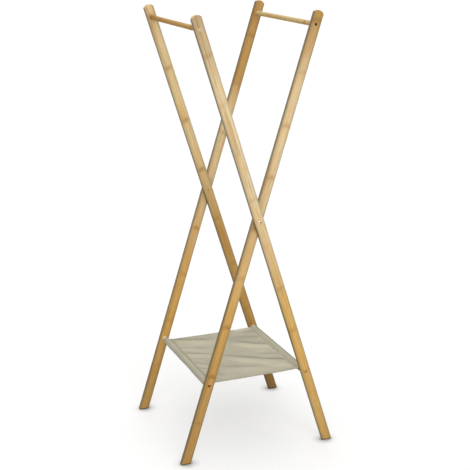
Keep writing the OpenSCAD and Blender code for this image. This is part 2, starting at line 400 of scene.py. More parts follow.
def plain_weave(finish, u, v, pitch):
    """Height of two sets of yarns that go over and under each other, from 0 to 1."""
    a = finish.math("DIVIDE", u, pitch)
    b = finish.math("DIVIDE", v, pitch)
    over = finish.times(*[finish.math("SINE", finish.times(place, math.pi)) for place in (a, b)])

    def yarn(place, sign):
        centre = finish.minus(finish.math("FRACT", place), 0.5)
        crown = finish.times_plus(finish.times(centre, centre), -4.0, 1.0)
        return finish.times(crown, finish.times_plus(over, 0.5 * sign, 0.5))

    return finish.larger(yarn(a, 1.0), yarn(b, -1.0))


def canvas(name, cloth, seams, hem):
    """Plain-woven canvas on the cloth's own flat map, with slubs in the yarns, stitched grooves, and
    painted light and shade.
    """
    finish = Finish(name, Sheen_Weight=0.12, Sheen_Roughness=0.5)
    flat = finish.add("ShaderNodeUVMap", uv_map="cut").outputs[0]
    u, v, _ = finish.split(flat)
    weave = plain_weave(finish, u, v, cloth.yarn)
    warp = finish.noise(flat, (1600.0, 45.0, 1.0))
    weft = finish.noise(flat, (45.0, 1600.0, 1.0))
    cloud = finish.noise(flat, (14.0, 14.0, 1.0), 3.0)
    mottle = finish.total((warp, 0.36), (weft, 0.36), (cloud, 0.28))

    def dyed(tint):
        return tinted(cloth.colour, tint)

    finish.colour = finish.ramp(mottle, (0.34, dyed(0.74)), (0.5, dyed(1.0)), (0.66, dyed(1.16)))
    finish.paint(finish.range(weave, 0.0, 0.75, 0.42, 0.0), dyed(0.45))

    # Painted shade behind the folds and down the outer edge of bar a's sleeve, and painted light on the
    # crests, the sleeve's top and the back corner
    painted_shading = finish.add("ShaderNodeAttribute", attribute_name="painted_shading").outputs["Fac"]
    finish.paint(finish.range(painted_shading, 0.0, 1.0, 0.0, 0.75, smooth=False), dyed((0.42, 0.42, 0.38)))
    finish.paint(finish.range(painted_shading, 0.0, -1.0, 0.0, 0.6, smooth=False), dyed((1.48, 1.44, 1.42)))

    # Painted shade in the stitched grooves, deeper by bar b, and along the rim of the hem where no painted
    # light lies
    to_edge = finish.size(v)
    groove_shade = finish.range(to_edge, CLOTH_HALF - 9 * MM, CLOTH_HALF - 1 * MM, 0.0, 0.5)
    groove_shade = finish.times(groove_shade, finish.range(painted_shading, -0.9, -0.3))
    depth = finish.range(u, -0.01, 0.01, 0.9, 0.5)
    rows = [(finish.size(u), seam, depth) for seam in seams] + [(to_edge, hem, 0.45)]
    for distance, row, deep in rows:
        off = finish.size(finish.minus(distance, row))
        groove_shade = finish.larger(groove_shade, finish.range(off, 0.6 * MM, 2.6 * MM, deep, 0.0))
    finish.paint(finish.times(groove_shade, 0.75), dyed((0.44, 0.44, 0.36)))
    return finish.done(finish.range(weave, 0.0, 1.0, 0.97, 0.89), (weave, 0.14 * MM), (mottle, 0.1 * MM))


def thread(name, cloth):
    """Twisted sewing thread, a little paler than the canvas."""
    finish = Finish(name, Sheen_Weight=0.2)
    twist = finish.noise(finish.coords(), 2600.0, 1.0)
    finish.colour = finish.ramp(twist, (0.3, tinted(cloth.colour, 0.8)), (0.7, tinted(cloth.colour, 1.25)))
    return finish.done(finish.range(twist, 0.3, 0.7, 0.8, 0.7), (twist, 0.06 * MM))


def steel(name, dull, bright, hollow_shade, rough, side_shade=0.0):
    """Plated steel with fine scuffs, with painted shade in its recesses and, if asked, painted shade
    towards +X.
    """
    finish = Finish(name, Metallic=1.0)
    coords = finish.coords()
    cloud = finish.noise(coords, 260.0, 3.0)
    scuff = finish.noise(coords, (900.0, 5200.0, 900.0), 2.0, 0.6)
    openness = finish.add("ShaderNodeAmbientOcclusion", {"Distance": 4 * MM}, samples=8).outputs["AO"]
    shade_mask = finish.range(openness, 0.5, 0.95, 1.0, 0.0)
    # Painted shade on the +X side, for the dark crescent of the pivot bolt
    if side_shade:
        x, _, z = finish.split(coords)
        lean = finish.minus(x, finish.times(finish.minus(z, PIVOT.z), 0.4))
        shade_mask = finish.larger(shade_mask, finish.range(lean, 0.8 * MM, 3.6 * MM, 0.0, side_shade))
    finish.colour = finish.ramp(cloud, (0.3, srgb(*dull)), (0.7, srgb(*bright)))
    finish.paint(shade_mask, srgb(*hollow_shade))
    return finish.done(finish.range(scuff, 0.2, 0.8, rough, rough + 0.15), (scuff, 0.02 * MM))


def rubber(name):
    """Matt dark pad with a fine moulded grain."""
    finish = Finish(name)
    coords = finish.coords()
    grain = finish.noise(coords, 1800.0)
    dust = finish.noise(coords, 130.0, 3.0)
    finish.colour = finish.ramp(dust, (0.35, srgb(50, 43, 37)), (0.7, srgb(78, 68, 58)))
    return finish.done(finish.range(grain, 0.2, 0.8, 0.72, 0.9), (grain, 0.08 * MM))


def dress(material, *nodes):
    """Gives CAD nodes a finish and leaves their shapes alone."""
    for node in nodes:
        for slot in frame["nodes"][node].material_slots:
            slot.material = material


# Mesh helpers


def face_out(bm):
    bmesh.ops.recalc_face_normals(bm, faces=bm.faces[:])


def mesh_of(bm, name):
    mesh = bpy.data.meshes.new(name)
    bm.to_mesh(mesh)
    bm.free()
    return mesh


def placed(name, data):
    obj = bpy.data.objects.new(name, data)
    bpy.context.scene.collection.objects.link(obj)
    return obj


def piece(bm, name, material, sharp=SHARP):
    """A finished object from a bmesh, shaded smooth up to the angle."""
    mesh = mesh_of(bm, name)
    mesh.materials.append(material)
    obj = placed(name, mesh)
    mesh.shade_smooth()
    mesh.set_sharp_from_angle(angle=math.radians(sharp))
    return obj


def y_cone(r1, r2, start, end, z):
    """A closed cone along Y from radius r1 at start to r2 at end, round the axis at height z."""
    bm = bmesh.new()
    bmesh.ops.create_cone(bm, cap_ends=True, segments=ROUND, radius1=r1, radius2=r2,
                          depth=abs(end - start))
    turn = Matrix.Rotation(math.radians(-90 if end > start else 90), 4, "X")
    bm.transform(Matrix.Translation((0, (start + end) / 2, z)) @ turn)
    return bm


def cut_away(obj, cutters):
    """Cuts the cutters' solids out of the object and deletes them."""
    tools = []
    for bm in cutters:
        face_out(bm)
        tool = placed("cutter", mesh_of(bm, "cutter"))
        modifier = obj.modifiers.new("cut", "BOOLEAN")
        modifier.operation = "DIFFERENCE"
        modifier.solver = "EXACT"
        modifier.object = tool
        tools.append(tool)
    bpy.context.view_layer.update()
    graph = bpy.context.evaluated_depsgraph_get()
    cut = bpy.data.meshes.new_from_object(obj.evaluated_get(graph))
    obj.modifiers.clear()
    spent = [*tools, *[tool.data for tool in tools], obj.data]
    obj.data = cut
    bpy.data.batch_remove(spent)


# What a user would change


def number(name, description, default, **kind):
    return bpy.props.FloatProperty(name=name, description=description, default=default, **kind)


def length(name, description, default):
    return number(name, description, default, unit="LENGTH")


def degrees(name, description, default):
    return number(name, description, math.radians(default), subtype="ANGLE")


def tint(name, description, default):
    return bpy.props.FloatVectorProperty(name=name, description=description, default=default[:3],
                                         subtype="COLOR", size=3, min=0, max=1)


class RackWood(bpy.types.PropertyGroup):
    leg_width: length("Leg width", "Width of a leg's broad face", 0.035)
    tip_rise: length("Tip rise", "Height of the arc at the top of a leg", 0.0093)
    edge: length("Edge radius", "Radius along the long edges", 0.002)
    foot_edge: length("Foot edge", "Radius round the cut at the foot", 0.0006)
    knuckle_stretch: number("Knuckle stretch", "Factor on the distances between the knuckles of a leg",
                            1.0, min=0.2, max=5.0)
    light: tint("Light grain", "Palest fibres", srgb(233, 214, 177))
    golden: tint("Golden grain", "Main colour", srgb(219, 197, 154))
    dark: tint("Dark grain", "Darkest fibres", srgb(188, 158, 110))
    peach: tint("Peach strip", "Tint of the warmer strips", srgb(221, 189, 151))
    knuckle: tint("Knuckle", "Colour of the knuckle bands", srgb(158, 108, 54))
    skin: tint("Narrow sides", "Tint of a leg's narrow sides", (0.54, 0.48, 0.30))
    honey: tint("Honey", "Tint where a leg is honey-coloured", (0.88, 0.71, 0.36))
    deep: tint("Deep honey", "Tint where a leg is darker", (0.68, 0.53, 0.26))


class RackCloth(bpy.types.PropertyGroup):
    thick: length("Thickness", "One layer of canvas", 0.0007)
    yarn: length("Yarn pitch", "Distance between two yarns", 0.00085)
    hem: length("Hem", "Width turned under at the front and back edges", 0.014)
    sag: length("Sag", "How far the middle hangs", 0.0018)
    fold: length("Fold height", "Height of a full tension fold", 0.0032)
    slack: length("Sleeve slack", "How far a sleeve hangs below its bar", 0.0034)
    stitch: length("Stitch pitch", "Length of one stitch", 0.0036)
    colour: tint("Canvas", "Main colour of the canvas", srgb(175, 170, 148))


class RackStage(bpy.types.PropertyGroup):
    lens: number("Lens", "Focal length on a 36 mm sensor", 82.41, unit="CAMERA")
    yaw: degrees("Yaw", "Camera's turn round the rack", -22.12)
    pitch: degrees("Pitch", "Camera's height angle", 16.37)
    roll: degrees("Roll", "Camera's tilt", -0.20)
    distance: length("Distance", "From the camera to its target", 3.870)
    key: number("Key light", "Strength of the large soft light", 1.35)
    overhead: number("Overhead light", "Strength of the light straight above", 1.75)
    rear: number("Rear light", "Strength of the light behind the rack", 0.9)
    front: number("Front light", "Power of the soft box in front of the rack", 1.2, unit="POWER")
    fill: number("Room light", "Strength of the light from all round", 0.26)


def settings():
    scene = bpy.context.scene
    return scene.rack_wood, scene.rack_cloth, scene.rack_stage


# Pieces


def leg_blank(wood, near, thick):
    """A leg with square edges in leg space: a spun arc at the tip over two sides, too long at its foot."""
    half = wood.leg_width / 2
    radius = (half ** 2 + wood.tip_rise ** 2) / (2 * wood.tip_rise)
    centre = (LEG_TOP - PIVOT.z - radius) / math.cos(LEAN)
    foot = -PIVOT.z / math.cos(LEAN) - wood.leg_width
    bm = bmesh.new()
    first = bm.verts.new((-half, 0, centre + radius - wood.tip_rise))
    bmesh.ops.spin(bm, geom=[first], cent=(0, 0, centre), axis=(0, 1, 0),
                   angle=2 * math.asin(half / radius), steps=20, use_merge=False)
    arc = sorted(bm.verts[:], key=lambda v: v.co.x)
    left = bm.verts.new((-half, 0, foot))
    right = bm.verts.new((half, 0, foot))
    for pair in ((left, arc[0]), (arc[-1], right), (right, left)):
        bm.edges.new(pair)
    bmesh.ops.contextual_create(bm, geom=bm.edges[:])
    made = bmesh.ops.extrude_face_region(bm, geom=bm.faces[:])["geom"]
    far = [part for part in made if isinstance(part, bmesh.types.BMVert)]
    bmesh.ops.translate(bm, vec=(0, thick, 0), verts=far)
    bmesh.ops.translate(bm, vec=(0, near, 0), verts=bm.verts[:])
    return bm


def round_edges(bm, edges, radius, segments):
    bmesh.ops.bevel(bm, geom=edges, offset=radius, offset_type="OFFSET", segments=segments, profile=0.5,
                    affect="EDGES", material=-1, clamp_overlap=True)


def leg_cutters(near, thick, outer):
    """The pivot's hole, and two holes for screws that are countersunk in the leg's outer face."""
    start = near - HOLE_REACH
    end = near + thick + HOLE_REACH
    face, inward = (near, 1) if outer else (near + thick, -1)
    cutters = [y_cone(PIVOT_HOLE, PIVOT_HOLE, start, end, 0)]
    mouth = SINK_FACE + SINK_REACH
    outside = face - inward * SINK_REACH
    for z in (RAIL_UP, -BAR_DOWN):
        cutters.append(y_cone(SCREW_HOLE, SCREW_HOLE, start, end, z))
        cutters.append(y_cone(mouth, SINK_ROOT, outside, outside + inward * (mouth - SINK_ROOT), z))
    return cutters


def make_leg(node, side, outer, wood, material):
    low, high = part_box(node)
    thick = high.y - low.y
    near = low.y if side == "a" else -high.y
    space = leg_space(side)
    bm = leg_blank(wood, near, thick)

    # The cut at the foot is parallel to the floor and lies on the pad
    foot = space.inverted() @ Vector((0, 0, PAD_TOP))
    down = space.inverted().to_3x3() @ Vector((0, 0, -1))
    bmesh.ops.bisect_plane(bm, geom=bm.verts[:] + bm.edges[:] + bm.faces[:], dist=1e-7,
                           plane_co=foot, plane_no=down, clear_outer=True)
    bmesh.ops.holes_fill(bm, edges=[e for e in bm.edges if e.is_boundary], sides=0)
    face_out(bm)

    def at_foot(edge):
        return all(abs((v.co - foot).dot(down)) < TOUCH for v in edge.verts)

    # The rims of both broad faces run in the face, and all other edges run across the leg
    rims = [e for e in bm.edges if abs(e.verts[0].co.y - e.verts[1].co.y) < TOUCH]
    round_edges(bm, [e for e in rims if not at_foot(e)], wood.edge, 5)
    round_edges(bm, [e for e in bm.edges if at_foot(e)], wood.foot_edge, 2)
    face_out(bm)
    obj = piece(bm, node.replace("leg", "leg_wood"), material)
    cut_away(obj, leg_cutters(near, thick, outer))
    obj.data.transform(space)
    obj.data.set_sharp_from_angle(angle=math.radians(SHARP))
    obj.modifiers.new("even shading", "WEIGHTED_NORMAL").keep_sharp = True
    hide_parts(node)
    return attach(obj, "frame_" + side)


class RACK_OT_legs(bpy.types.Operator):
    """Make the four bamboo legs with their rounded edges and countersunk holes"""
    bl_idname = "rack.make_legs"
    bl_label = "Legs"

    STRIPS = 3

    # For each leg: its cast, darker on the rear legs partly as painted shade, the distance between
    # knuckles, where one lies, how bold they are, and the leg's shades from foot to tip, partly painted
    # shade
    CASTS = {
        "front_leg_a": ((1.0, 1.0, 1.0), 0.170, 0.085, 0.85, (
            (0.01, "deep"), (0.14, "honey"), (0.36, "honey"), (0.60, "pale"), (0.84, "pale"),
            (0.97, "shaded_tip"))),
        "front_leg_b": ((0.97, 0.96, 0.91), 0.180, 0.155, 1.0, (
            (0.05, "deep"), (0.14, "deep"), (0.38, "honey"), (0.60, "pale"), (0.84, "pale"),
            (0.97, "deep"))),
        "rear_leg_a": ((0.95, 0.92, 0.78), 0.200, 0.085, 1.0, (
            (0.06, "dark"), (0.24, "deep"), (0.46, "deep"), (0.68, "pale"), (0.97, "pale"))),
        "rear_leg_b": ((0.97, 0.94, 0.87), 0.187, 0.410, 1.0, (
            (0.10, "deep"), (0.25, "honey"), (0.35, "honey"), (0.60, "pale"), (0.755, "pale"),
            (0.82, "deep"))),
    }

    def execute(self, context):
        wood = settings()[0]
        # Below the pale middle a leg darkens, partly in the wood's own honey tone and partly as painted
        # shade; the darkest tint is a painted shadow of the cloth on rear leg a's foot, and the grey tint
        # is painted shade on front leg a's tip
        tints = {"pale": WHITE, "shaded_tip": (0.74, 0.68, 0.60, 1.0), "honey": tinted(wood.honey),
                 "deep": tinted(wood.deep), "dark": tinted(wood.deep, (0.56, 0.49, 0.34))}
        for seed, (node, (side, outer)) in enumerate(LEGS.items(), start=1):
            tone, gap, first, bold, shades = self.CASTS[node]
            material = bamboo("bamboo " + node.replace("_", " "), wood, seed, PIVOT, (0, -LEAN, TURN[side]),
                              wood.leg_width / self.STRIPS, tone, gap * wood.knuckle_stretch, first, bold,
                              [(share, tints[shade]) for share, shade in shades])
            make_leg(node, side, outer, wood, material)
        return {"FINISHED"}


class RACK_OT_rods(bpy.types.Operator):
    """Finish the hanging rails and lower bars as turned bamboo"""
    bl_idname = "rack.make_rods"
    bl_label = "Rails and bars"

    STRIP = 5.8 * MM
    GAP = 0.15
    FIRST = 0.03
    CASTS = {
        "hanging_rail_a": (0.66, 0.49, 0.21), "hanging_rail_b": (0.92, 0.87, 0.66),
        "lower_bar_a": (1.0, 0.98, 0.98), "lower_bar_b": (1.05, 1.12, 1.24),
    }

    def execute(self, context):
        along_rod = (math.pi / 2, 0, 0)
        for seed, (node, tone) in enumerate(self.CASTS.items(), start=11):
            dress(bamboo("turned bamboo " + node.replace("_", " "), settings()[0], seed, middle(node),
                         along_rod, self.STRIP, tone, self.GAP, self.FIRST), node)
        return {"FINISHED"}


def dome_profile(radius, height, rim, top):
    """Half outline of a button head, from its rim to the flat round its socket."""
    steps = 8
    angles = [math.pi / 2 * i / steps for i in range(steps + 1)]
    return [(top + (radius - top) * math.cos(a), rim + (height - rim) * math.sin(a)) for a in angles]


class RACK_OT_fasteners(bpy.types.Operator):
    """Make the domed pivot bolts and finish the other fasteners as plated steel, the screws with painted
    glints and shade
    """
    bl_idname = "rack.make_fasteners"
    bl_label = "Fasteners"

    # Each metal's name, its CAD nodes, its dull and its bright tone, the painted shade in recesses and
    # roughness
    # The screws are all alike: the pale finish of rail a's is a painted glint, and the darker finishes of
    # the others are painted shade
    METALS = (
        ("bar screw steel with painted shade", ["bar_screws_b"], (98, 64, 36), (130, 90, 54), (84, 56, 30), 0.26),
        ("bar screw steel with lighter painted shade", ["bar_screws_a"], (148, 106, 76), (184, 140, 106), (104, 70, 46), 0.30),
        ("brass plated steel", ["barrel_nut_a", "barrel_nut_b", "pivot_washer_a", "pivot_washer_b"],
         (176, 140, 88), (206, 174, 122), (150, 118, 72), 0.36),
        ("rail screw steel with painted glint", ["rail_screws_a"], (166, 152, 130), (196, 184, 164), (120, 96, 70), 0.42),
        ("rail screw steel with painted shade", ["rail_screws_b"], (66, 40, 22), (98, 64, 38), (40, 24, 14), 0.34),
    )

    def execute(self, context):
        for name, nodes, *look in self.METALS:
            dress(steel(name, *look), *nodes)
        nickel = steel("nickel plated steel", (214, 190, 160), (244, 226, 204), (128, 88, 54), 0.26, 0.9)
        for side in "ab":
            self.bolt(side, nickel)
        return {"FINISHED"}

    def bolt(self, side, metal):
        """A shank and a domed head with a hexagonal socket, turned round the pivot axis."""
        shank, length, chamfer = 3.0 * MM, 20.0 * MM, 0.4 * MM
        head, corner, rim, flat = 6.0 * MM, 0.3 * MM, 0.9 * MM, 3.1 * MM
        socket_radius, socket_depth = 2.31 * MM, 2.2 * MM
        height = OUTER_FACE - BOLT_FACE
        outline = [(0, -length), (shank - chamfer, -length), (shank, chamfer - length), (shank, 0),
                   (head - corner, 0), (head, corner)]
        outline += dome_profile(head, height, rim, flat) + [(0, height)]
        bm = bmesh.new()
        points = [bm.verts.new((r, 0, h)) for r, h in outline]
        edges = [bm.edges.new(pair) for pair in zip(points, points[1:])]
        bmesh.ops.spin(bm, geom=points + edges, cent=(0, 0, 0), axis=(0, 0, 1), angle=2 * math.pi,
                       steps=ROUND, use_merge=True)
        bmesh.ops.remove_doubles(bm, verts=bm.verts[:], dist=1e-6)
        face_out(bm)
        obj = piece(bm, "pivot_bolt_domed_" + side, metal, BOLT_SHARP)
        socket = bmesh.new()
        bmesh.ops.create_cone(socket, cap_ends=True, segments=6, radius1=socket_radius,
                              radius2=socket_radius, depth=2 * socket_depth)
        bmesh.ops.translate(socket, vec=(0, 0, height), verts=socket.verts[:])
        cut_away(obj, [socket])
        stand = Matrix.Translation((0, OUTER_FACE, 0)) @ Matrix.Rotation(math.pi / 2, 4, "X")
        obj.data.transform(leg_space(side) @ stand)
        obj.data.set_sharp_from_angle(angle=math.radians(BOLT_SHARP))
        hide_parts("pivot_bolt_" + side)
        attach(obj, "frame_" + side)


class RACK_OT_pads(bpy.types.Operator):
    """Finish the pads under the feet as matt rubber"""
    bl_idname = "rack.make_pads"
    bl_label = "Foot pads"

    def execute(self, context):
        dress(rubber("dark foot pad"), "front_pad_a", "rear_pad_a", "front_pad_b", "rear_pad_b")
        return {"FINISHED"}


# Centreline of the loop round a bar, in mm from the bar's axis: along the top from the stitched
# strip, tight round the far side and slack underneath
LOOP = [(-20.0, 0.45), (-15.6, 0.55), (-12.6, 2.0), (-9.3, 5.2), (-5.0, 8.5), (0.0, 9.85), (4.95, 8.5),
        (8.55, 4.9), (9.85, 0.0), (9.2, -4.6), (6.2, -9.2), (0.8, -12.2), (-4.8, -11.8), (-9.4, -8.0),
        (-12.6, -3.4), (-15.6, -0.7), (-20.0, -0.45)]

# The stitched strip: how far its tip and its rows are from the bar's axis, and how high its top layer is
STRIP_TIP = 20.0 * MM
ROWS_AT = (15.3 * MM, 18.8 * MM)
STRIP_RISE = 0.45 * MM

# Radius of a hem's bend, and the length of cloth in it
HEM_BEND = 0.45 * MM
HEM_TURN = math.pi * HEM_BEND

# Tension folds of the panel, in mm from its middle. The steep back of each runs from its first
# point to its second; then come its share of the full height and how broad it is
FOLDS = (
    ((-162, 203), (15, 148), 1.0, 1.5), ((-162, 160), (-85, 128), 0.4, 0.8),
    ((-162, 120), (-50, 72), 0.65, 1.0), ((-162, 66), (-55, 4), 0.95, 1.1),
    ((-162, 10), (-110, -18), 0.45, 0.8), ((-162, -36), (-80, -85), 0.8, 0.9),
    ((-162, -86), (-118, -108), 0.45, 0.8), ((-162, -145), (-90, -175), 0.5, 0.9),
    ((-60, 0), (162, -136), 1.1, 1.6), ((35, 108), (162, 24), 1.15, 1.4),
    ((-95, -98), (85, -165), 0.6, 1.4), ((75, -35), (162, -77), 0.6, 0.9),
    ((85, 10), (162, -23), 0.5, 0.8), ((85, -135), (162, -175), 0.7, 1.0),
    ((60, 150), (162, 109), 0.3, 1.0), ((70, 200), (162, 166), 0.4, 1.1),
    ((20, 138), (162, 100), 0.45, 3.0), ((105, -112), (162, -134), 0.5, 1.2),
)
# A fold's end that lies further out than this is held by the strip
HELD = 150


def rounded(points, per_span=12):
    """A smooth run through the points."""
    out = []
    for i in range(len(points) - 1):
        p = [Vector(points[min(max(i + k, 0), len(points) - 1)]) for k in (-1, 0, 1, 2)]
        for n in range(per_span):
            t = n / per_span
            out.append(0.5 * (2 * p[1] + (p[2] - p[0]) * t + (2 * p[0] - 5 * p[1] + 4 * p[2] - p[3]) * t * t
                              + (3 * p[1] - p[0] - 3 * p[2] + p[3]) * t ** 3))
    out.append(Vector(points[-1]))
    return out


def smooth(value, low, high):
    """0 below low and 1 above high, with a smooth rise between them."""
    t = min(max((value - low) / (high - low), 0), 1)
    return t * t * (3 - 2 * t)


def between(value, rise, fall):
    """1 from the end of the rise to the start of the fall, and 0 outside both."""
    return smooth(value, *rise) * (1 - smooth(value, *fall))


def bell(value, centre, below, above=None):
    """1 at the centre, fading over a width below it, and over another above it if that is given."""
    width = below if above is None or value < centre else above
    return math.exp(-((value - centre) / width) ** 2)


def stretch(share, spans):
    """The length at a share of the grid, from -1 to 1. Each span has its cells and where it ends."""
    cell = abs(share) * sum(cells for cells, _ in spans)
    start = 0.0
    for cells, end in spans:
        if cell <= cells:
            break
        cell -= cells
        start = end
    return math.copysign(start + (end - start) * cell / cells, share)


class Shelf:
    """The shelf's surface: where each point of the flat cut lies once it is sewn and hung."""

    # Height of the broad swell, height and pitch of the gathers by the seams, and a hem's own height
    SWELL = 1.2 * MM
    GATHER = 0.4 * MM
    GATHER_PITCH = 31 * MM
    HEM_BUILD = 0.95 * MM

    # How far a free edge is drawn in, and how deep and how wide a row of stitches pulls
    DRAWN_IN = 1 * MM
    PUCKER = 0.4 * MM
    PUCKER_WIDTH = 1.4 * MM

    def __init__(self, cloth):
        self.cloth = cloth
        self.half = CLOTH_HALF
        self.panel = BAR.x - STRIP_TIP
        self.loop = rounded([(x * MM, z * MM) for x, z in LOOP])
        self.lengths = [0.0]
        for a, b in zip(self.loop, self.loop[1:]):
            self.lengths.append(self.lengths[-1] + (b - a).length)
        self.reach = self.panel + self.lengths[-1]
        self.hem_row = self.half - cloth.hem + 2 * MM

    def on_loop(self, distance):
        """Point and share of the loop at a distance along it from the strip's tip."""
        d = min(max(distance, 0), self.lengths[-1])
        high = min(bisect_right(self.lengths, d), len(self.lengths) - 1)
        before = self.lengths[high - 1]
        t = (d - before) / (self.lengths[high] - before)
        return self.loop[high - 1].lerp(self.loop[high], t), d / self.lengths[-1]

    def folds(self, x, y):
        """Height of the tension folds and their painted shade, from -1, a painted highlight on a fold's
        crest, to 1 behind it.
        """
        height = shade = 0.0
        for (x0, y0), (x1, y1), size, broad in FOLDS:
            t = (x / MM - x0) / (x1 - x0)
            past = (y / MM - (y0 + (y1 - y0) * t + 2.5 * math.sin(7 * t + y0))) / broad
            if not (-0.1 < t < 1.1 and -50 < past < 35):
                continue
            start = smooth(t, 0, 0.08) if abs(x0) > HELD else smooth(t, -0.1, 0.35)
            end = smooth(1 - t, 0, 0.08) if abs(x1) > HELD else smooth(1 - t, -0.1, 0.5)
            swell = size * start * end
            height += swell * (bell(past, -7, 13, 7) - 0.45 * bell(past, 11, 10))
            shade += swell * (0.95 * bell(past, 3, 5.5, 12) - 0.6 * bell(past, -20, 17, 9))
        return height, shade

    def wrinkle(self, x, y):
        """Height of the folds and ripples over the panel."""
        inward = self.panel - abs(x)
        calm = 1 - smooth(abs(y) / self.half, 0.95, 1.0)
        wide = noise.noise(Vector((x * 9 + 3, y * 15, 0.3)))
        height = self.cloth.fold * self.folds(x, y)[0] * calm + self.SWELL * wide
        turn = y * 2 * math.pi / self.GATHER_PITCH
        gather = math.sin(turn + 2.2 * math.sin(y * 23) + (1.3 if x > 0 else 0))
        gather *= self.GATHER * calm * (1 - smooth(inward, 0.0, 0.030))
        return smooth(inward, 0.0, 0.012) * height + gather

    def painted_shading(self, s, y):
        """Painted shade of the folds and down the outer edge of bar a's sleeve, and painted light on its
        top and at the back corner.
        """
        edge = 1 - smooth(abs(y) / self.half, 0.96, 1.0)
        shade = self.folds(s, y)[1] * edge * smooth(self.panel - abs(s), -0.003, 0.003)
        past = s - self.panel
        shade += between(past, (0.0195, 0.0230), (0.038, 0.052))
        shade -= 0.45 * between(past, (0.002, 0.008), (0.0178, 0.0219))
        # Painted light where the back edge stands up by bar a
        painted_corner_light = smooth(s, 0.080, 0.105) * smooth(y, 0.190, 0.204) * (1 - smooth(past, 0.0215, 0.0260))
        return shade * (1 - painted_corner_light) - 1.1 * painted_corner_light

    def mid(self, s, y):
        """The cloth's middle layer before the hem is turned under."""
        side = 1 if s >= 0 else -1
        size = abs(s)
        build = self.HEM_BUILD * smooth(abs(y), self.half - 0.019, self.half - 0.0145)
        if size <= self.panel:
            free = 1 - (s / self.panel) ** 2
            z = BAR.z + STRIP_RISE - self.cloth.sag * free + self.wrinkle(s, y)
            z += build * smooth(size, self.panel - 0.008, self.panel)
            pull = self.DRAWN_IN * free * smooth(abs(y), self.half * 0.7, self.half)
            return Vector((s, y - math.copysign(pull, y), z))
        place, share = self.on_loop(size - self.panel)
        wave = 0.6 + 0.4 * math.sin(y * 19 + side) + 0.25 * math.sin(y * 47)
        rise = -self.cloth.slack * bell(share, 0.66, 0.13) * wave
        rise += build * min(1, bell(place.x, -0.0178, 0.0030) * 1.2) * (1 if share < 0.5 else -1)
        return Vector((side * (BAR.x + place.x), y, BAR.z + place.y + rise))

    def normal(self, s, y):
        """Unit normal towards the cloth's outer side."""
        h = 0.4 * MM
        along = self.mid(s + h, y) - self.mid(s - h, y)
        across = self.mid(s, y + h) - self.mid(s, y - h)
        return along.cross(across).normalized()

    def rows(self, at):
        """Where a stitch row lies on the cut: once on top of its bar's strip and once underneath."""
        return self.panel + STRIP_TIP - at, self.reach - (STRIP_TIP - at)

    def pucker(self, s, y):
        """How deep the stitch rows pull the cloth in."""
        deep = sum(bell(abs(s), row, self.PUCKER_WIDTH) for at in ROWS_AT for row in self.rows(at))
        deep += bell(abs(y), self.hem_row, self.PUCKER_WIDTH)
        return self.PUCKER * min(deep, 1.2)

    def at(self, s, t):
        """The place of a point of the cut, with the hem turned under."""
        y = t
        deep = 0.0
        over = abs(t) - self.half
        if over > HEM_TURN:
            y = math.copysign(self.half - (over - HEM_TURN), t)
            deep = 2 * HEM_BEND
        elif over > 0:
            angle = over / HEM_BEND
            y = math.copysign(self.half + HEM_BEND * math.sin(angle), t)
            deep = HEM_BEND * (1 - math.cos(angle))
        inner = min(max(y, -self.half), self.half)
        place = self.mid(s, inner)
        place.y += y - inner
        return place - self.normal(s, inner) * (deep + self.pucker(s, y))


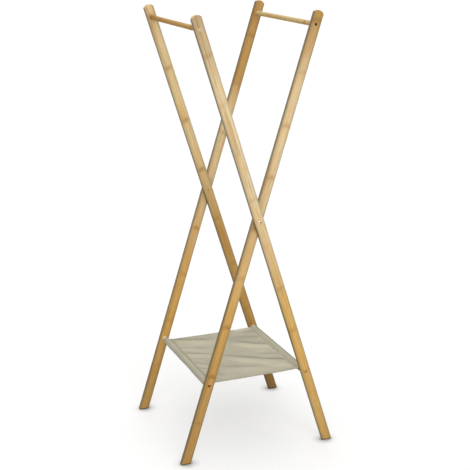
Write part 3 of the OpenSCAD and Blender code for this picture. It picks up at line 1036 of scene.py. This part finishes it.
class RACK_OT_shelf(bpy.types.Operator):
    """Sew the canvas shelf: panel, sleeves round the bars, hems and stitching"""
    bl_idname = "rack.make_shelf"
    bl_label = "Canvas shelf"

    def execute(self, context):
        cloth = settings()[1]
        shelf = Shelf(cloth)
        hem_end = shelf.half + HEM_TURN + cloth.hem
        across = ((32, shelf.panel - 0.030), (14, shelf.panel), (44, shelf.reach))
        half = shelf.half
        along = ((60, half - 0.020), (16, half - 0.0004), (7, half + HEM_TURN), (7, hem_end))
        nx, ny = [2 * sum(cells for cells, _ in spans) for spans in (across, along)]
        bm = bmesh.new()
        cut = bm.loops.layers.uv.new("cut")
        # Each point keeps its painted light and shade for the canvas
        painted_shading = bm.verts.layers.float.new("painted_shading")
        bmesh.ops.create_grid(bm, x_segments=nx, y_segments=ny, size=1)
        flat = {v: (stretch(v.co.x, across), stretch(v.co.y, along)) for v in bm.verts}
        for face in bm.faces:
            for corner in face.loops:
                corner[cut].uv = flat[corner.vert]
        for vert, (s, t) in flat.items():
            vert.co = shelf.at(s, t)
            vert[painted_shading] = shelf.painted_shading(s, t)
        seams = [row for at in ROWS_AT for row in shelf.rows(at)]
        obj = piece(bm, "shelf_canvas", canvas("beige canvas", cloth, seams, shelf.hem_row), SMOOTH)
        solid = obj.modifiers.new("cloth", "SOLIDIFY")
        solid.thickness = cloth.thick
        solid.offset = 0.0
        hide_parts("shelf_cloth", "sleeve_a", "sleeve_b")
        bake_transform(obj)
        sewn = self.stitches(shelf, cloth)
        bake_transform(sewn)
        return {"FINISHED"}

    def stitches(self, shelf, cloth):
        """Every stitch is a short thread that dips into the cloth at both ends."""
        def row(half, edge_shade):
            count = int(2 * (half - edge_shade) / cloth.stitch)
            return [edge_shade - half + k * cloth.stitch for k in range(count + 1)]

        # Each stitch: its place on the cut, a short step along its row, and its height over the cloth
        near = 0.5 * MM
        top = cloth.thick / 2
        under = -top - 0.9 * MM
        runs = [(side * s, t, 0, near, top) for side in (-1, 1) for at in ROWS_AT
                for s in shelf.rows(at) for t in row(shelf.half, 3 * MM)]
        runs += [(s, side * shelf.hem_row, near, 0, lift) for side in (-1, 1)
                 for s in row(shelf.panel, 4 * MM) for lift in (top, under)]
        half_length, half_width, half_height = cloth.stitch * 0.36, 0.32 * MM, 0.26 * MM
        size = Matrix.Diagonal((half_length, half_width, half_height, 1))
        bm = bmesh.new()
        for s, t, ds, dt, lift in runs:
            normal = shelf.normal(s, t)
            tangent = (shelf.at(s + ds, t + dt) - shelf.at(s - ds, t - dt)).normalized()
            cross = normal.cross(tangent).normalized()
            basis = Matrix((tangent, cross, normal)).transposed().to_4x4()
            lift += math.copysign(half_height * 0.35, lift)
            place = Matrix.Translation(shelf.at(s, t) + normal * lift)
            bmesh.ops.create_icosphere(bm, subdivisions=1, radius=1, matrix=place @ basis @ size)
        obj = piece(bm, "shelf_stitches", thread("sewing thread", cloth), SMOOTH)
        return obj


class RACK_OT_stage(bpy.types.Operator):
    """Set up the floor, the soft light and the camera"""
    bl_idname = "rack.make_stage"
    bl_label = "Floor, light and camera"

    # The camera's target: its height over the floor, then how far right and down of that in the picture
    AIM = (0.775, 0.01349, 0.03007)

    def execute(self, context):
        stage = settings()[2]
        self.floor()
        self.lights(stage)
        self.world(stage)
        self.camera(stage)
        context.scene.view_settings.view_transform = "Standard"
        return {"FINISHED"}

    def floor(self):
        material = bpy.data.materials.new("pale floor")
        material.use_nodes = True
        nodes = Nodes(material.node_tree)

        # Painted contact shadow: the floor darkens right beside a foot
        foot_shadow = nodes.add("ShaderNodeAmbientOcclusion", {"Distance": 38 * MM}, samples=12)
        contact = nodes.range(foot_shadow.outputs["AO"], 0.5, 0.97, 0.28, 1.0, smooth=False)
        seen = nodes.add("ShaderNodeBsdfDiffuse", {"Color": nodes.times(contact, 0.55)})
        glow = nodes.add("ShaderNodeEmission", {"Color": WHITE, "Strength": nodes.times(contact, 0.41)})
        both = nodes.add("ShaderNodeAddShader", {0: seen.outputs[0], 1: glow.outputs[0]})
        plain = nodes.add("ShaderNodeBsdfDiffuse", {"Color": (0.62, 0.62, 0.62, 1.0)})
        nodes.end("ShaderNodeOutputMaterial", plain, both)
        bm = bmesh.new()
        bmesh.ops.create_grid(bm, x_segments=4, y_segments=4, size=30)
        obj = placed("floor", mesh_of(bm, "floor"))
        obj.data.materials.append(material)

    def lamp(self, name, kind, toward, **settings):
        """A lamp whose light comes from the given direction."""
        data = bpy.data.lights.new(name, kind)
        for key, value in settings.items():
            setattr(data, key, value)
        obj = placed(name, data)
        obj.rotation_euler = Vector(toward).to_track_quat("Z", "Y").to_euler()
        return obj

    def lights(self, stage):
        for name, toward, energy, spread in (
                ("key light", (-0.24, -0.95, 0.60), stage.key, 50),
                ("overhead light", (0.0, 0.06, 1.0), stage.overhead, 100),
                ("rear light", (0.25, 0.95, 0.30), stage.rear, 60)):
            self.lamp(name, "SUN", toward, energy=energy, angle=math.radians(spread))
        box = self.lamp("front light", "AREA", (0.5, -2.4, 0.25), energy=stage.front, size=0.9,
                        spread=math.radians(70))
        box.location = (0.5, -2.4, 1.45)

    def world(self, stage):
        world = bpy.context.scene.world or bpy.data.worlds.new("studio")
        bpy.context.scene.world = world
        world.use_nodes = True
        nodes = Nodes(world.node_tree)
        room = nodes.add("ShaderNodeBackground", {"Color": (1.0, 0.99, 0.97, 1.0), "Strength": stage.fill})
        white = nodes.add("ShaderNodeBackground", {"Color": WHITE, "Strength": 1.0})
        nodes.end("ShaderNodeOutputWorld", room, white)

    def camera(self, stage):
        data = bpy.data.cameras.new("camera")
        data.lens = stage.lens
        data.sensor_width = 36.0
        data.clip_start = 0.1
        data.clip_end = 200
        height, aside, down = self.AIM
        level = Matrix.Rotation(stage.yaw, 4, "Z") @ Matrix.Rotation(math.pi / 2 - stage.pitch, 4, "X")
        back = Matrix.Translation((aside, -down, stage.distance))
        obj = placed("camera", data)
        obj.matrix_world = (Matrix.Translation((0, 0, height)) @ level @ back
                            @ Matrix.Rotation(stage.roll, 4, "Z"))
        bpy.context.scene.camera = obj


class RACK_PT_panel(bpy.types.Panel):
    """Lists the rack's sizes and the steps that make it"""
    bl_idname = "RACK_PT_panel"
    bl_label = "Clothes Rack"
    bl_space_type = "VIEW_3D"
    bl_region_type = "UI"
    bl_category = "Clothes Rack"

    def draw(self, context):
        for group in settings():
            box = self.layout.box()
            for key in group.__annotations__:
                box.prop(group, key)
        for step in STEPS:
            self.layout.operator(step.bl_idname)


GROUPS = {"rack_wood": RackWood, "rack_cloth": RackCloth, "rack_stage": RackStage}
STEPS = (RACK_OT_stage, RACK_OT_legs, RACK_OT_rods, RACK_OT_fasteners, RACK_OT_pads, RACK_OT_shelf)


def register():
    for cls in (*GROUPS.values(), *STEPS, RACK_PT_panel):
        bpy.utils.register_class(cls)
    for name, group in GROUPS.items():
        setattr(bpy.types.Scene, name, bpy.props.PointerProperty(type=group))


def unregister():
    for name in GROUPS:
        delattr(bpy.types.Scene, name)
    for cls in reversed((*GROUPS.values(), *STEPS, RACK_PT_panel)):
        bpy.utils.unregister_class(cls)


def main():
    register()
    for step in STEPS:
        group, action = step.bl_idname.split(".")
        getattr(getattr(bpy.ops, group), action)()


if __name__ == "__main__":
    main()
